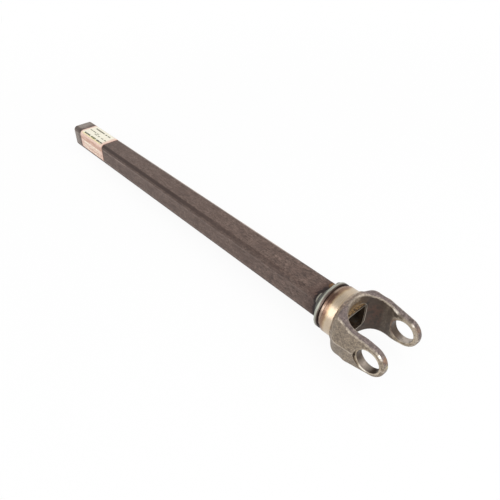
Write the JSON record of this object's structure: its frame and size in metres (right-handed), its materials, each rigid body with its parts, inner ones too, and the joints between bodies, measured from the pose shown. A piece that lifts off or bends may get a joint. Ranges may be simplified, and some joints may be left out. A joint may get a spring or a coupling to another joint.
{
  "type": "power take-off shaft",
  "caption": "Half of a power take-off driveline: a forged yoke with cross bores and a grooved hub, welded to the end of a long square tube that telescopes over its mating bar.",
  "frame": {"origin": "centre of the universal joint: on the axis of the cross bores, midway between the ears", "axes": "+X along the shaft, out of the open end of the fork, so the tube runs towards -X; +Y along the cross bores; +Z square to both"},
  "size_m": [0.732, 0.0894, 0.0704],
  "materials": {
    "forged_steel": "forged skin with its scale on, worn pale on the edges; hub, bores and ear facings machined, the hub tinted straw to purple by the heat of welding",
    "tube_steel": "drawn tube with dull brown-grey mill scale, darker where it was heated beside the weld",
    "weld_metal": "bare weld bead, grey-green silver, rippled",
    "label_paper": "coated paper with rows of plain dark print marks"
  },
  "bodies": {
    "root": {"yoke": "forged_steel", "square_tube": "tube_steel", "weld_bead": "weld_metal", "paper_label": "label_paper"}
  },
  "joints": []
}
